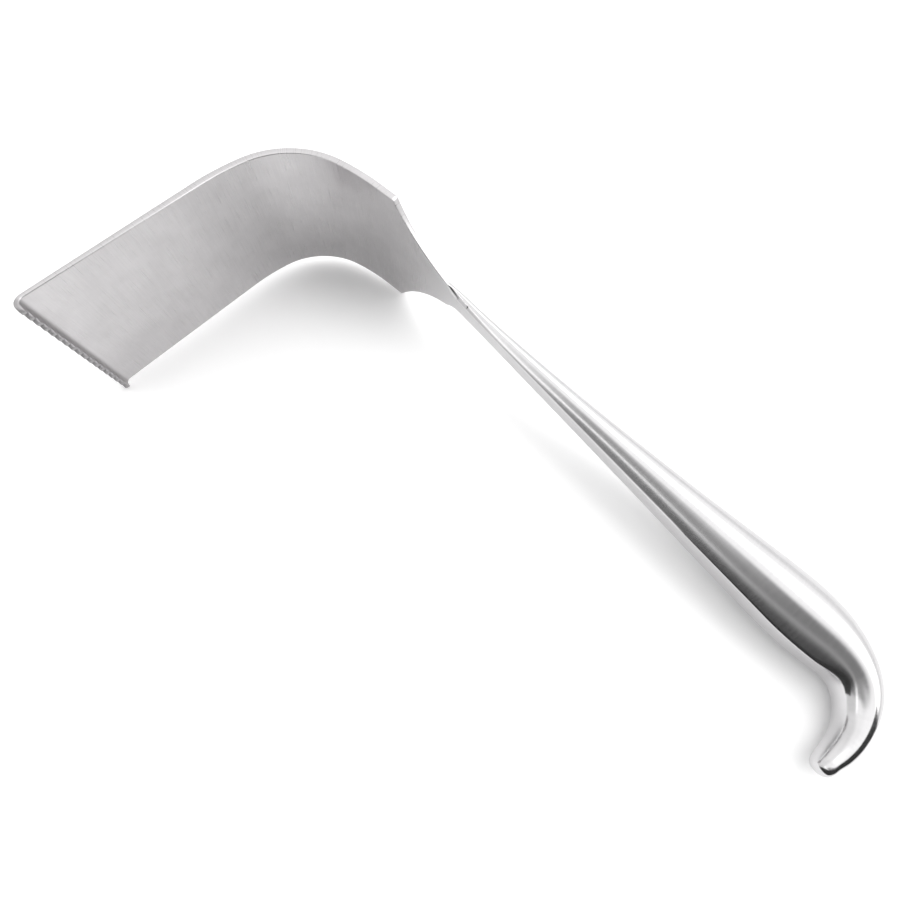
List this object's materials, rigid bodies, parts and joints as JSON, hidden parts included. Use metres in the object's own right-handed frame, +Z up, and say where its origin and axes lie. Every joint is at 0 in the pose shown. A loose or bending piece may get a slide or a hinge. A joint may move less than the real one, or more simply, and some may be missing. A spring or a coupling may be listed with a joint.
{
  "type": "handheld surgical retractor",
  "caption": "Hand-held retractor in one piece: broad bent blade with a toothed lip, waisted neck and a solid sculpted grip that curls into a hook.",
  "frame": {"origin": "middle of the footprint, on the surface that the retractor lies on", "axes": "+X along the grip, from the blade toward the hook; +Y across, with the blade hanging toward -Y and the palm side toward +Y; +Z up from the resting surface"},
  "size_m": [0.2386, 0.1206, 0.0543],
  "materials": {
    "steel": "satin"
  },
  "bodies": {
    "root": {"retractor": "steel"}
  },
  "joints": []
}
